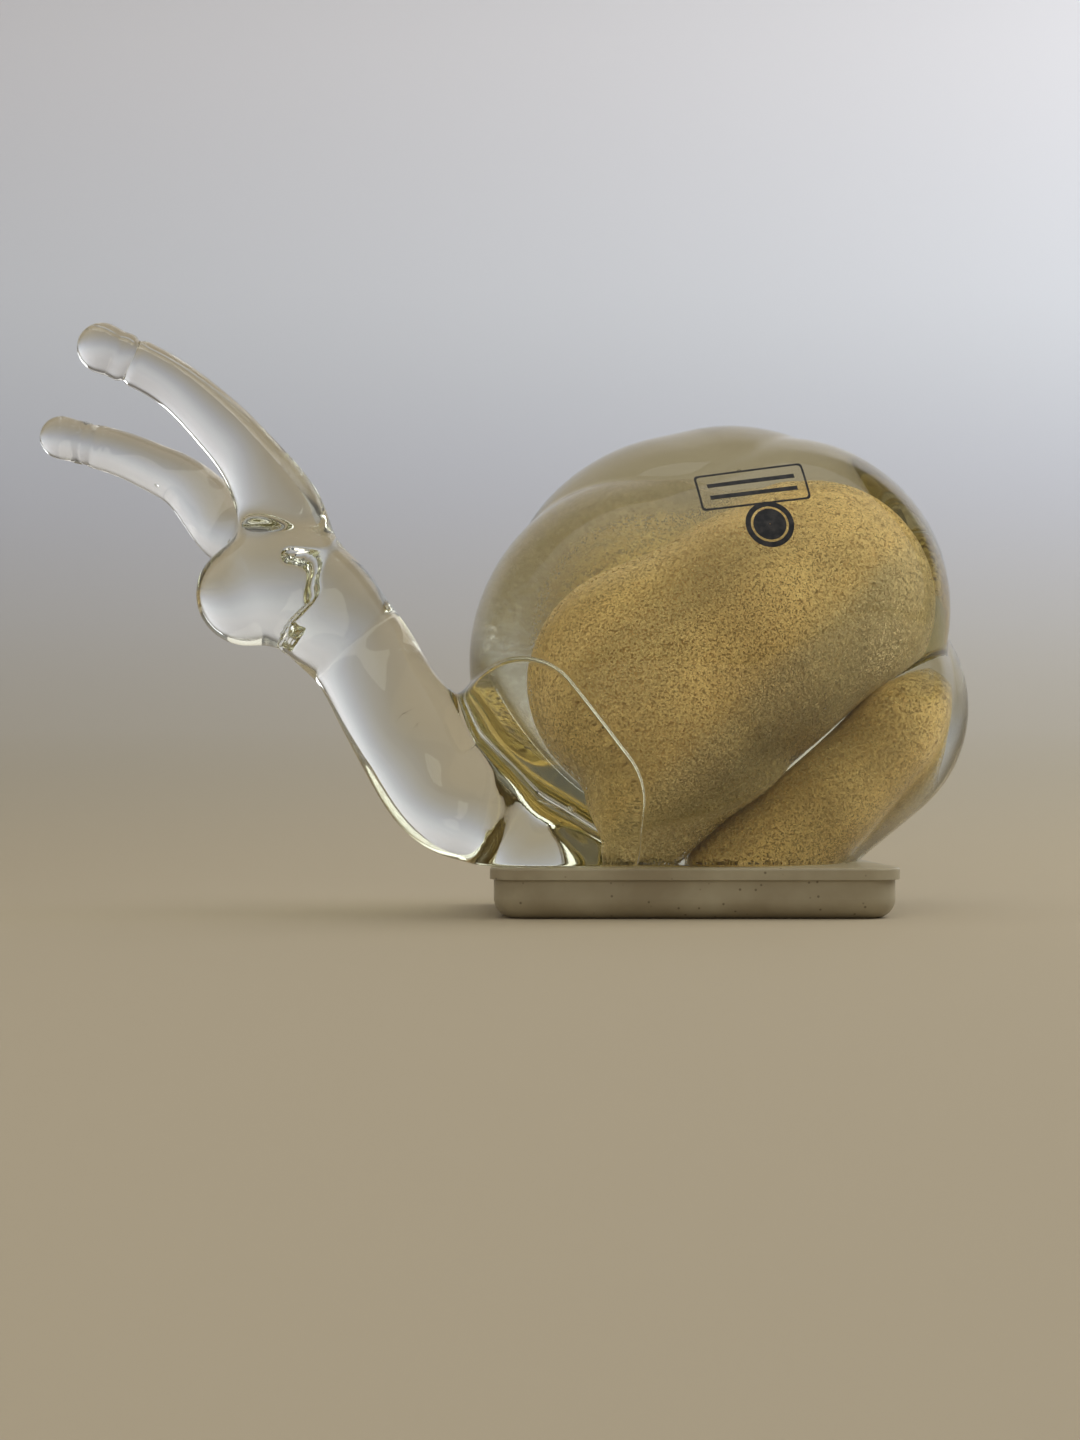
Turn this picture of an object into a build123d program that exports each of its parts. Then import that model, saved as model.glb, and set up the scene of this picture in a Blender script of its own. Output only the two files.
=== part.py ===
from build123d import *
import math
import os

os.makedirs("parts", exist_ok=True)

# Snail figurine in clear glass over gold cores, on a low stand.
# Millimetres. Z is up, the tail end is +X, the head looks to -X and the front faces -Y.
# The origin is the middle of the stand's underside.

# Stand
stand_length = 83.2
stand_depth = 60.0
stand_height = 10.3
stand_corner_radius = 7.0
stand_foot_radius = 4.0
rim_height = 2.4
rim_overhang = 0.8
rim_edge_radius = 0.6

# Shell, laid out in its own frame: x along the turns, y to the back, z along the coil's axis
shell_radius = 52.0
shell_middle_x = 7.8
shell_middle_height = 41.5
coil_tilt = 43.0

# Each turn of the shell is two rounded barrels, front and back.
# Shares of the shell radius: x, y and z of both ends, then the radius at each end.
first_front_shares = ((-0.183, -0.115, 0.202), (0.337, 0.015, 0.029), 0.773, 0.713)
first_back_shares = ((0.039, 0.123, 0.220), (0.218, 0.153, 0.174), 0.807, 0.761)
second_front_shares = ((-0.500, 0.000, -0.394), (0.240, 0.000, -0.365), 0.550, 0.527)
second_back_shares = ((-0.394, 0.154, -0.415), (0.250, 0.173, -0.438), 0.544, 0.563)

# The seam between the turns leans this many degrees and lies this share down the axis.
seam_lean = 5.6
seam_share = -0.379

# Each gold core is a bent rope with a front arm and a back arm.
# Shares of the shell radius: x of the ends, x of the bend, y of the middle, z, half the arm spacing.
first_gold_shares = (-0.190, 0.020, 0.020, 0.070, 0.365)
second_gold_shares = (-0.460, 0.115, 0.115, -0.635, 0.225)
gold_fill_share = 0.97
gold_floor = 2.0

# Head
head_x = -85.3
head_y = -9.0
head_height = 59.9
head_radius = 13.5
muzzle_length = 7.7
muzzle_drop = 3.0
muzzle_radius = 11.0

# Neck, from the end inside the foot up to its top, a little behind and below the head's middle
neck_end_x = -40.8
neck_end_y = -14.0
neck_end_height = 12.7
neck_top_back = 3.2
neck_top_drop = 2.1
neck_radius = 12.6
# Shares: along the reach, of the side shift, up the rise, of the neck radius.
neck_shares = (
    (0.000, 0.00, 0.000, 1.02),
    (0.150, 0.08, 0.035, 1.04),
    (0.270, 0.22, 0.110, 1.02),
    (0.390, 0.40, 0.277, 1.00),
    (0.533, 0.60, 0.470, 0.92),
    (0.660, 0.80, 0.672, 0.89),
    (0.765, 0.80, 0.792, 0.92),
    (0.886, 1.00, 0.916, 0.99),
    (1.000, 1.00, 1.000, 0.97),
)

# Tentacles, from the root inside the head to the rounded tip; roots are placed from the head's middle
near_root_back = 0.7
near_root_side = 0.5
near_root_lift = 3.3
near_reach = 36.9
near_spread = 11.5
near_rise = 43.4
near_radius = 6.2
# Shares: along the reach, of the spread, up the rise, of the tentacle radius.
near_shares = (
    (0.000, 0.00, 0.00, 1.68),
    (0.045, 0.05, 0.25, 1.50),
    (0.200, 0.22, 0.49, 1.13),
    (0.360, 0.39, 0.65, 1.00),
    (0.550, 0.57, 0.80, 0.87),
    (0.750, 0.74, 0.91, 0.82),
    (1.000, 1.00, 1.00, 0.85),
)
far_root_ahead = 6.2
far_root_side = 2.5
far_root_lift = 0.3
far_reach = 48.6
far_spread = 28.5
far_rise = 35.5
far_radius = 5.6
far_shares = (
    (0.000, 0.00, 0.00, 1.46),
    (0.085, 0.25, 0.18, 1.54),
    (0.185, 0.49, 0.38, 1.34),
    (0.360, 0.65, 0.63, 1.11),
    (0.530, 0.76, 0.77, 1.00),
    (0.710, 0.86, 0.88, 0.92),
    (1.000, 1.00, 1.00, 0.89),
)
# The tentacles meet on an upright plane this far behind the head's middle.
root_seam_back = 7.5

# Foot: the clear glass that joins the neck to the shell and wraps up over it
foot_x = -28.1
foot_y = -14.0
foot_size = 16.6
foot_wrap = 2.2
# Shares of the foot size: x, height above the stand and radius of each lobe, top lobe first.
foot_shares = (
    (-0.45, 1.73, 0.79),
    (0.12, 0.75, 0.94),
    (0.00, 0.31, 1.03),
)

# Air bubble trapped in the foot
bubble_x = -25.3
bubble_y = -28.2
bubble_height = 11.1
bubble_radius = 0.9

# Printed labels on the shell: a plain film and a plain round spot, sized as seen from the front.
# Shares of the shell radius: sideways and up from the shell's middle.
film_place_shares = (0.069, 0.675)
film_length = 22.4
film_width = 8.4
film_corner_radius = 0.8
film_turn = 8.0
print_thickness = 0.25
spot_place_shares = (0.123, 0.515)
spot_radius = 4.9

tilt = math.radians(coil_tilt)
lean = math.radians(seam_lean)
along = Vector(math.cos(tilt), 0, math.sin(tilt))
coil_axis = Vector(-math.sin(tilt), 0, math.cos(tilt))
shell_middle = Vector(shell_middle_x, 0, stand_height + shell_middle_height)
seam_normal = coil_axis * math.cos(lean) - Vector(0, 1, 0) * math.sin(lean)
seam = Plane(
    origin=shell_middle + coil_axis * (shell_radius * seam_share),
    x_dir=along,
    z_dir=seam_normal,
)
stand_top = Plane.XY.offset(stand_height)
tentacle_seam = Plane.XZ.offset(-head_y - root_seam_back)
half_ball = (Align.CENTER, Align.CENTER, Align.MIN)


def barrel(begin, finish, begin_radius, finish_radius):
    """Two balls and the cone that touches both, as one turned solid."""
    span = finish - begin
    length = span.length
    slope = math.asin((begin_radius - finish_radius) / length)
    profile_plane = Plane(origin=begin, x_dir=span, z_dir=span.cross(Vector(0, 1, 0)))
    touch_angle = math.pi / 2 - slope
    back_angle = (math.pi + touch_angle) / 2
    tip_angle = touch_angle / 2
    back_mid = (begin_radius * math.cos(back_angle), begin_radius * math.sin(back_angle))
    back_touch = (begin_radius * math.cos(touch_angle), begin_radius * math.sin(touch_angle))
    tip_touch = (
        length + finish_radius * math.cos(touch_angle),
        finish_radius * math.sin(touch_angle),
    )
    tip_mid = (
        length + finish_radius * math.cos(tip_angle),
        finish_radius * math.sin(tip_angle),
    )
    with BuildPart() as turned:
        with BuildSketch(profile_plane):
            with BuildLine():
                ThreePointArc((-begin_radius, 0), back_mid, back_touch)
                Line(back_touch, tip_touch)
                ThreePointArc(tip_touch, tip_mid, (length + finish_radius, 0))
                Line((length + finish_radius, 0), (-begin_radius, 0))
            make_face()
        revolve(axis=Axis(begin, span))
    return turned.part


def shell_place(x_share, y_share, z_share):
    """A point of the shell, given as shares of its radius in the shell's own frame."""
    return (
        shell_middle
        + along * (shell_radius * x_share)
        + Vector(0, shell_radius * y_share, 0)
        + coil_axis * (shell_radius * z_share)
    )


def shell_turn(shares, skin=0):
    """One rounded barrel of the shell with a skin of the given depth over it."""
    begin_shares, finish_shares, begin_share, finish_share = shares
    return barrel(
        shell_place(*begin_shares),
        shell_place(*finish_shares),
        shell_radius * begin_share + skin,
        shell_radius * finish_share + skin,
    )


def limb(centres, radii, tip=-1):
    """A smooth tapering solid along a curved middle line, with half a ball on its tip end."""
    with BuildLine() as middle:
        Spline(*centres)
    path = middle.edge()
    with BuildPart() as solid:
        for centre, radius in zip(centres, radii):
            with BuildSketch(Plane(origin=centre, z_dir=path.tangent_at(centre))):
                Circle(radius)
        loft()
        outward = path.tangent_at(centres[tip])
        if tip == 0:
            outward = -outward
        with Locations(Plane(origin=centres[tip], z_dir=outward)):
            Sphere(radii[tip], arc_size1=0, align=half_ball)
    return solid.part


def gold_rope(shares):
    """A bent rope of round section with rounded ends, kept clear of the stand."""
    end_share, bend_share, middle_share, z_share, half_share = shares
    half = shell_radius * half_share
    end_x = shell_radius * end_share
    bend_x = shell_radius * bend_share
    rope_radius = half * gold_fill_share
    rope_plane = Plane(
        origin=shell_place(0, middle_share, z_share), x_dir=along, z_dir=coil_axis
    )
    start = rope_plane.from_local_coords(Vector(end_x, -half, 0))
    finish = rope_plane.from_local_coords(Vector(end_x, half, 0))
    with BuildPart() as rope:
        with BuildLine(rope_plane):
            Line((end_x, -half), (bend_x, -half))
            ThreePointArc((bend_x, -half), (bend_x + half, 0), (bend_x, half))
            Line((bend_x, half), (end_x, half))
        with BuildSketch(Plane(origin=start, z_dir=along)):
            Circle(rope_radius)
        sweep()
        with Locations(start, finish):
            Sphere(rope_radius)
        split(bisect_by=stand_top.offset(gold_floor), keep=Keep.TOP)
    return rope.part


def shell_print_place(place_shares):
    """Where a label lies on the shell, as seen from the front."""
    sideways_share, up_share = place_shares
    return (
        shell_middle.X + shell_radius * sideways_share,
        shell_middle.Z + shell_radius * up_share,
    )


def print_on_shell(outline, shell):
    """The part of a thin skin over the front of the first turn that lies behind an outline."""
    with BuildPart() as printed:
        add(shell_turn(first_front_shares, print_thickness))
        add(outline, mode=Mode.INTERSECT)
        add(shell, mode=Mode.SUBTRACT)
    return printed.part


turn_shares = (first_front_shares, first_back_shares, second_front_shares, second_back_shares)
first_gold_body = gold_rope(first_gold_shares)
second_gold_body = gold_rope(second_gold_shares)

with BuildPart() as shell_body:
    for shares in turn_shares:
        add(shell_turn(shares))
    split(bisect_by=stand_top, keep=Keep.TOP)

with BuildPart() as first_whorl_glass:
    add(shell_body.part)
    split(bisect_by=seam, keep=Keep.TOP)
    add(first_gold_body, mode=Mode.SUBTRACT)
first_whorl_glass.part.label = "first_whorl_glass"

with BuildPart() as second_whorl_glass:
    add(shell_body.part)
    split(bisect_by=seam, keep=Keep.BOTTOM)
    add(second_gold_body, mode=Mode.SUBTRACT)
second_whorl_glass.part.label = "second_whorl_glass"

with BuildPart() as first_whorl_gold:
    add(first_gold_body)
first_whorl_gold.part.label = "first_whorl_gold"

with BuildPart() as second_whorl_gold:
    add(second_gold_body)
second_whorl_gold.part.label = "second_whorl_gold"

# Neck and head
head_middle = Vector(head_x, head_y, stand_height + head_height)
muzzle_middle = head_middle - Vector(muzzle_length, 0, muzzle_drop)
neck_end = Vector(neck_end_x, neck_end_y, stand_height + neck_end_height)
neck_span = head_middle + Vector(neck_top_back, 0, -neck_top_drop) - neck_end
neck_centres = [
    neck_end
    + Vector(neck_span.X * reach_share, neck_span.Y * side_share, neck_span.Z * rise_share)
    for reach_share, side_share, rise_share, radius_share in neck_shares
]
neck_radii = [neck_radius * shares[-1] for shares in neck_shares]
neck_body = limb(neck_centres, neck_radii, tip=0)
head_body = barrel(head_middle, muzzle_middle, head_radius, muzzle_radius)

with BuildPart() as head:
    add(head_body)
head.part.label = "head"

with BuildPart() as neck:
    add(neck_body)
    add(head_body, mode=Mode.SUBTRACT)
    add(shell_body.part, mode=Mode.SUBTRACT)
    split(bisect_by=stand_top, keep=Keep.TOP)
neck.part.label = "neck"

# Tentacles
near_root = head_middle + Vector(near_root_back, -near_root_side, near_root_lift)
near_centres = [
    near_root
    + Vector(-near_reach * reach_share, -near_spread * spread_share, near_rise * rise_share)
    for reach_share, spread_share, rise_share, radius_share in near_shares
]
near_radii = [near_radius * shares[-1] for shares in near_shares]
far_root = head_middle + Vector(-far_root_ahead, far_root_side, far_root_lift)
far_centres = [
    far_root
    + Vector(-far_reach * reach_share, far_spread * spread_share, far_rise * rise_share)
    for reach_share, spread_share, rise_share, radius_share in far_shares
]
far_radii = [far_radius * shares[-1] for shares in far_shares]
near_body = limb(near_centres, near_radii)
far_body = limb(far_centres, far_radii)

with BuildPart() as tentacle_near:
    add(near_body)
    split(bisect_by=tentacle_seam, keep=Keep.TOP)
    add(head_body, mode=Mode.SUBTRACT)
    add(neck_body, mode=Mode.SUBTRACT)
tentacle_near.part.label = "tentacle_near"

with BuildPart() as tentacle_far:
    add(far_body)
    split(bisect_by=tentacle_seam, keep=Keep.BOTTOM)
    add(head_body, mode=Mode.SUBTRACT)
    add(neck_body, mode=Mode.SUBTRACT)
tentacle_far.part.label = "tentacle_far"

# Foot
foot_lobes = [
    (foot_x + foot_size * x_share, stand_height + foot_size * height_share, foot_size * radius_share)
    for x_share, height_share, radius_share in foot_shares
]

with BuildPart() as foot_wedge:
    with BuildSketch(Plane.XZ):
        for lobe_x, lobe_z, lobe_radius in foot_lobes:
            with Locations((lobe_x, lobe_z)):
                Circle(lobe_radius)
        make_hull()
    extrude(amount=shell_radius, both=True)

with BuildPart() as foot_skin:
    for shares in turn_shares:
        add(shell_turn(shares, foot_wrap))
    add(foot_wedge.part, mode=Mode.INTERSECT)

with BuildPart() as foot:
    for upper, lower in zip(foot_lobes, foot_lobes[1:]):
        add(
            barrel(
                Vector(upper[0], foot_y, upper[1]),
                Vector(lower[0], foot_y, lower[1]),
                upper[2],
                lower[2],
            )
        )
    add(foot_skin.part)
    add(shell_body.part, mode=Mode.SUBTRACT)
    add(neck_body, mode=Mode.SUBTRACT)
    with Locations((bubble_x, bubble_y, stand_height + bubble_height)):
        Sphere(bubble_radius, mode=Mode.SUBTRACT)
    split(bisect_by=stand_top, keep=Keep.TOP)
foot.part.label = "foot"

# Labels
with BuildPart() as film_outline:
    with BuildSketch(Plane.XZ):
        with Locations(Location(shell_print_place(film_place_shares), film_turn)):
            RectangleRounded(film_length, film_width, film_corner_radius)
    extrude(amount=shell_radius)

with BuildPart() as spot_outline:
    with BuildSketch(Plane.XZ):
        with Locations(shell_print_place(spot_place_shares)):
            Circle(spot_radius)
    extrude(amount=shell_radius)

film_body = print_on_shell(film_outline.part, shell_body.part)
spot_body = print_on_shell(spot_outline.part, shell_body.part)

with BuildPart() as label_film:
    add(film_body)
    add(spot_outline.part, mode=Mode.SUBTRACT)
label_film.part.label = "label_film"

with BuildPart() as label_spot:
    add(spot_body)
label_spot.part.label = "label_spot"

# Stand
with BuildPart() as stand:
    with BuildSketch():
        RectangleRounded(
            stand_length - rim_overhang * 2,
            stand_depth - rim_overhang * 2,
            stand_corner_radius,
        )
    extrude(amount=stand_height - rim_height)
    fillet(stand.faces().sort_by(Axis.Z)[0].edges(), stand_foot_radius)
    with BuildSketch(Plane.XY.offset(stand_height - rim_height)):
        RectangleRounded(stand_length, stand_depth, stand_corner_radius)
    extrude(amount=rim_height)
    fillet(stand.faces().sort_by(Axis.Z)[-1].edges(), rim_edge_radius)
stand.part.label = "stand"

pieces = (
    stand,
    foot,
    neck,
    head,
    tentacle_near,
    tentacle_far,
    first_whorl_glass,
    first_whorl_gold,
    second_whorl_glass,
    second_whorl_gold,
    label_film,
    label_spot,
)
for piece in pieces:
    export_step(piece.part, "parts/" + piece.part.label + ".step")
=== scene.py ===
import math

import bpy
import numpy as np
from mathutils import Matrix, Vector


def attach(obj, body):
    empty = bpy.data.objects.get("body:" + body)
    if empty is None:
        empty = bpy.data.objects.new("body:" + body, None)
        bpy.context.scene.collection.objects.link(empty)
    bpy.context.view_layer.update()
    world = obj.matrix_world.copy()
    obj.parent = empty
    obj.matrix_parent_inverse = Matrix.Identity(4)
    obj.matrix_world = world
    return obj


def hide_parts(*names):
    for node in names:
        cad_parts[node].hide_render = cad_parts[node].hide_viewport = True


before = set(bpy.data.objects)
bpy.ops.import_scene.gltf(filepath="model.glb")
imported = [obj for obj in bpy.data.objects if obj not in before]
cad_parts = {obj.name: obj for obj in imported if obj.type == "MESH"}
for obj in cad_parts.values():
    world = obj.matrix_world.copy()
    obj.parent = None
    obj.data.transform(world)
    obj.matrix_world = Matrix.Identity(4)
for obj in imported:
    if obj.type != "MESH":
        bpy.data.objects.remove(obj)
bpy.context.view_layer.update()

# Snail figurine in clear glass over gold cores, on a low stand.
# The shapes are worked out in millimetres and turned into metres where a mesh is made.
# Each shape is a function that gives the distance from points to its surface, negative inside.
METRES = 0.001

# Stand
STAND_HEIGHT = 10.3
GROUND_EDGE = 0.8
GROUND_GAP = 0.05

# Shell
SHELL_RADIUS = 52.0
SHELL_MIDDLE = np.array((7.8, 0.0, STAND_HEIGHT + 41.5))
COIL_TILT = math.radians(43.0)
ALONG = np.array((math.cos(COIL_TILT), 0.0, math.sin(COIL_TILT)))
COIL_AXIS = np.array((-math.sin(COIL_TILT), 0.0, math.cos(COIL_TILT)))
BACKWARD = np.array((0.0, 1.0, 0.0))

# Shares of the shell radius: x, y and z of both ends of a barrel, then the radius at each end.
FIRST_FRONT = ((-0.183, -0.115, 0.202), (0.337, 0.015, 0.029), 0.773, 0.713)
FIRST_BACK = ((0.039, 0.123, 0.220), (0.218, 0.153, 0.174), 0.807, 0.761)
SECOND_FRONT = ((-0.500, 0.000, -0.394), (0.240, 0.000, -0.365), 0.550, 0.527)
SECOND_BACK = ((-0.394, 0.154, -0.415), (0.250, 0.173, -0.438), 0.544, 0.563)

# Neck: along the reach, of the side shift, up the rise, of the neck radius
NECK_END = np.array((-40.8, -14.0, STAND_HEIGHT + 12.7))
NECK_SPAN = np.array((-41.3, 5.0, 45.1))
NECK_RADIUS = 12.6
NECK_SHARES = (
    (0.000, 0.00, 0.000, 1.02),
    (0.150, 0.08, 0.035, 1.04),
    (0.270, 0.22, 0.110, 1.02),
    (0.390, 0.40, 0.277, 1.00),
    (0.533, 0.60, 0.470, 0.92),
    (0.660, 0.80, 0.672, 0.89),
    (0.765, 0.80, 0.792, 0.92),
    (0.886, 1.00, 0.916, 0.99),
    (1.000, 1.00, 1.000, 0.97),
)

# Head
HEAD_MIDDLE = np.array((-85.3, -9.0, STAND_HEIGHT + 59.9))
HEAD_RADIUS = 13.5
MUZZLE_MIDDLE = HEAD_MIDDLE + np.array((-7.7, 0.0, -3.0))
MUZZLE_RADIUS = 11.0

# Tentacles: along the reach, of the spread, up the rise, of the tentacle radius
NEAR_ROOT = HEAD_MIDDLE + np.array((0.7, -0.5, 3.3))
NEAR_SPAN = np.array((-36.9, -11.5, 43.4))
NEAR_RADIUS = 6.2
NEAR_SHARES = (
    (0.000, 0.00, 0.00, 1.68),
    (0.045, 0.05, 0.25, 1.50),
    (0.200, 0.22, 0.49, 1.13),
    (0.360, 0.39, 0.65, 1.00),
    (0.550, 0.57, 0.80, 0.87),
    (0.750, 0.74, 0.91, 0.82),
    (1.000, 1.00, 1.00, 0.85),
)
FAR_ROOT = HEAD_MIDDLE + np.array((-6.2, 2.5, 0.3))
FAR_SPAN = np.array((-48.6, 28.5, 35.5))
FAR_RADIUS = 5.6
FAR_SHARES = (
    (-0.060, 0.00, 0.16, 1.15),
    (0.058, 0.23, 0.26, 1.29),
    (0.185, 0.49, 0.38, 1.34),
    (0.360, 0.65, 0.63, 1.11),
    (0.530, 0.76, 0.77, 1.00),
    (0.710, 0.86, 0.88, 0.92),
    (1.000, 1.00, 1.00, 0.89),
)

# Foot: shares of the foot size for x, height above the stand and radius of each lobe
FOOT_PLACE = np.array((-28.1, -9.5, STAND_HEIGHT))
FOOT_SIZE = 16.6
FOOT_WRAP = 2.2
FOOT_SHARES = ((-0.45, 1.73, 0.79), (0.12, 0.75, 0.94), (0.00, 0.31, 1.03))

# Gold cores: shares of the shell radius for x, y, z and radius along each bent rope
FIRST_GOLD = (
    (-0.260, -0.260, -0.260, 0.18),
    (-0.740, -0.195, -0.265, 0.16),
    (-0.285, -0.355, 0.005, 0.29),
    (-0.270, -0.285, 0.180, 0.34),
    (0.125, -0.265, 0.025, 0.38),
    (0.415, -0.130, -0.040, 0.36),
    (0.300, 0.140, 0.040, 0.28),
    (0.060, 0.320, 0.120, 0.30),
    (-0.140, 0.320, 0.260, 0.31),
)
SECOND_GOLD = (
    (-0.560, -0.130, -0.620, 0.20),
    (-0.100, -0.020, -0.600, 0.23),
    (0.265, 0.055, -0.580, 0.225),
    (0.080, 0.320, -0.660, 0.24),
    (-0.340, 0.320, -0.660, 0.24),
)
GOLD_FLOOR = 1.4
GOLD_BLEND = 5.0
GOLD_FLOOR_EDGE = 1.5
# The full core lies this far inside the see-through dust.
CORE_DEPTH = 0.7
# Heights across the coil, in its turned frame, between which the gold turns greyer
GREY_BAND_TOP = 30.0
GREY_BAND_MIDDLE = 24.5

# How softly the gathers of glass run into each other
TURN_BLEND = 0.7
SEAM_BLEND = 1.2
WRAP_BLEND = 2.4
FOOT_BLEND = 7.0
RIM_BLEND = 1.0
NECK_BLEND = 5.0
HEAD_BLEND = 4.0
TENTACLE_BLEND = 3.0

# Faint waists near the tentacles' tips: place along the rows, depth and width
NEAR_WAISTS = ((5.42, 0.60, 0.08), (5.75, 0.20, 0.12))
FAR_WAISTS = ((5.55, 0.30, 0.08), (5.80, 0.15, 0.10))

# A crease on the far side of the head: x and z from the head's middle
CREASE_PLACES = (
    (-0.8, 3.3),
    (0.9, 2.6),
    (2.6, 0.7),
    (3.7, -1.6),
    (4.7, -3.6),
    (2.8, -4.4),
    (3.6, -6.0),
    (6.0, -8.0),
)
CREASE_HALF_WIDTH = 0.85
CREASE_DEPTH = 1.35
CREASE_BLEND = 0.30
# The crease lies this far behind the head's middle and beyond.
CREASE_REAR = 4.0
# Faces nearer to the crease than this are made finer.
CREASE_REACH = 1.3

# Unevenness of hot-worked glass. Axis of a wave, axis that it sways along, the wave's length,
# the sway's height and length, and the phase.
WAVE_HEIGHT = 0.03
WAVES = ((0, 2, 5.1, 1.3, 9.0, 0.4), (1, 0, 6.3, 1.1, 8.0, 1.9), (2, 1, 5.7, 1.2, 7.0, 3.1))

# Air bubbles: x and z seen from the front, depth under the surface, half lengths along its own
# axes, and lean in degrees
BUBBLES = (
    (-25.3, 21.4, 2.5, (1.0, 0.9, 0.9), 0.0),
    (-30.0, 22.6, 3.0, (3.0, 0.35, 0.30), -14.0),
    (-98.6, 78.4, 3.0, (0.5, 0.5, 0.5), 0.0),
    (9.2, 91.9, 2.2, (0.45, 0.35, 0.40), 30.0),
    (-14.4, 81.0, 2.5, (0.40, 0.30, 0.30), 40.0),
    (26.0, 41.5, 2.0, (0.40, 0.30, 0.30), 40.0),
    (-117.0, 92.5, 2.2, (0.7, 0.25, 0.25), -25.0),
)
BUBBLE_RINGS = 10
BUBBLE_SIDES = 16

# Labels: lines of ink on the shell
INK_GAP = 0.01
INK_THICKNESS = 0.06
INK_WIDTH = 0.42
FILM_MIDDLE = SHELL_MIDDLE + SHELL_RADIUS * np.array((0.069, 0.0, 0.675))
FILM_LENGTH = 22.4
FILM_WIDTH = 8.4
FILM_CORNER = 0.8
FILM_TURN = math.radians(8.0)
RULE_LEVELS = (1.4, -1.4)
RULE_HALF_WIDTH = 0.45
RULE_REACH = 0.40 * FILM_LENGTH
RULE_POINTS = 30
SPOT_MIDDLE = SHELL_MIDDLE + SHELL_RADIUS * np.array((0.123, 0.0, 0.515))
SPOT_RADIUS = 4.9
# Shares of the spot's radius: outside and inside of each ring
SPOT_RINGS = ((1.0, 0.78), (0.68, 0.02))
SPOT_POINTS = 72
CORNER_STEPS = 6
OUTLINE_STEP = 0.8

# Mesh: corners of the grid's box, its spacing, and the angles in degrees of each finer round
GLASS_BOX = ((-148.0, -50.0, 7.8), (64.0, 51.0, 125.0))
GLASS_PITCH = 2.4
GLASS_TURNS = (9, 9, 9)
GOLD_BOX = ((-45.0, -46.0, 9.0), (62.0, 48.0, 106.0))
GOLD_PITCH = 2.0
# A coarse cell is COARSE_CELLS fine ones across, and is searched where the surface lies within
# NEAR_CELLS fine ones of its middle.
COARSE_CELLS = 4
NEAR_CELLS = 6
# Beyond this distance a limb no longer bends the surfaces near it.
FAR_ENOUGH = 10.0
LIMB_STARTS = 8
LIMB_ROUNDS = 4
LIMB_BLOCK = 20000
# Flat lines are draped on the glass from this place in front of it.
DRAPE_START = -60.0
DRAPE_ROUNDS = 40

# Gold dust. Share of the surface that the see-through dust covers, and how sharp its flakes are
DUST_COVER = 0.72
DUST_EDGE = 0.02
FLAKE_SCALE = 4200.0
GRAIN_SCALE = 900.0
# How much of the glitter is each flake's own, and how far the flakes lean, more to the sky
FLAKE_SHARE = 0.35
FLAKE_LEAN = (0.34, 0.34, 0.34)
FLAKE_REST = (-0.17, -0.17, 0.33)
SURFACE_SHARE = (0.7, 0.7, 0.7)
# Depths in metres between which the gold turns dull and thin, and how thin it gets
DULL_DEPTHS = (-0.004, 0.010)
THIN_DEPTHS = (0.002, 0.012)
THIN_COVER = 0.22

# Paper sweep, in metres: where it starts to rise, how round it is, how wide and how far it goes
SWEEP_START = 0.10
SWEEP_RADIUS = 0.60
SWEEP_STEPS = 24
SWEEP_HALF_WIDTH = 2.5
SWEEP_FRONT = (-1.6, -0.8, 0.0)
SWEEP_TOP = 2.4
# Height on the paper in metres, and its colour there: warm on the flat and cooler up the rise,
# with painted shade low on the rise and painted light, paler and paler, towards the top
PAPER_TONES_AND_PAINTED_LIGHT = (
    (0.000, (0.423, 0.349, 0.236)),
    (0.030, (0.378, 0.332, 0.252)),
    (0.050, (0.395, 0.354, 0.286)),
    (0.100, (0.435, 0.415, 0.389)),
    (0.165, (0.498, 0.501, 0.542)),
    (0.230, (0.604, 0.614, 0.648)),
    (0.290, (0.690, 0.702, 0.740)),
    (0.375, (0.745, 0.745, 0.784)),
    (0.450, (0.795, 0.785, 0.818)),
)
# Sideways distances in metres between which the paper darkens with painted shade
PAPER_PAINTED_SHADE_EDGE = (0.42, 1.10)

# Lamps, in metres: name, place, the point it faces, size, watts and colour
LAMPS = (
    ("window_light", (0.75, 0.15, 0.75), (0.0, 0.15, 0.10), (0.8, 0.8), 8.0, (0.92, 0.96, 1.0)),
    ("front_light", (-0.5, -1.2, 0.55), (0.0, 0.0, 0.05), (1.0, 0.8), 4.3, (1.0, 0.96, 0.88)),
    ("ceiling_light", (-0.1, -0.25, 1.1), (0.0, 0.0, 0.05), (1.2, 0.9), 2.9, (1.0, 0.97, 0.90)),
)

# The room's light between straight behind the camera and ahead of it, by the way's y
ROOM_TURN = (-0.9, 0.3)
ROOM_STRENGTH = (0.22, 0.62)

# Camera, where the photograph was taken from
CAMERA_PLACE = (-0.0314, -0.430, 0.025)
CAMERA_RISE = 2.13
CAMERA_LENS = 50.0
CAMERA_SENSOR = 36.0
CAMERA_NEAREST = 0.01

# Light may pass this many surfaces, because glass lies behind glass.
GLASS_BOUNCES = 64
SEE_THROUGH_BOUNCES = 32


def length_of(vectors):
    return np.sqrt((vectors * vectors).sum(axis=-1))


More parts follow.
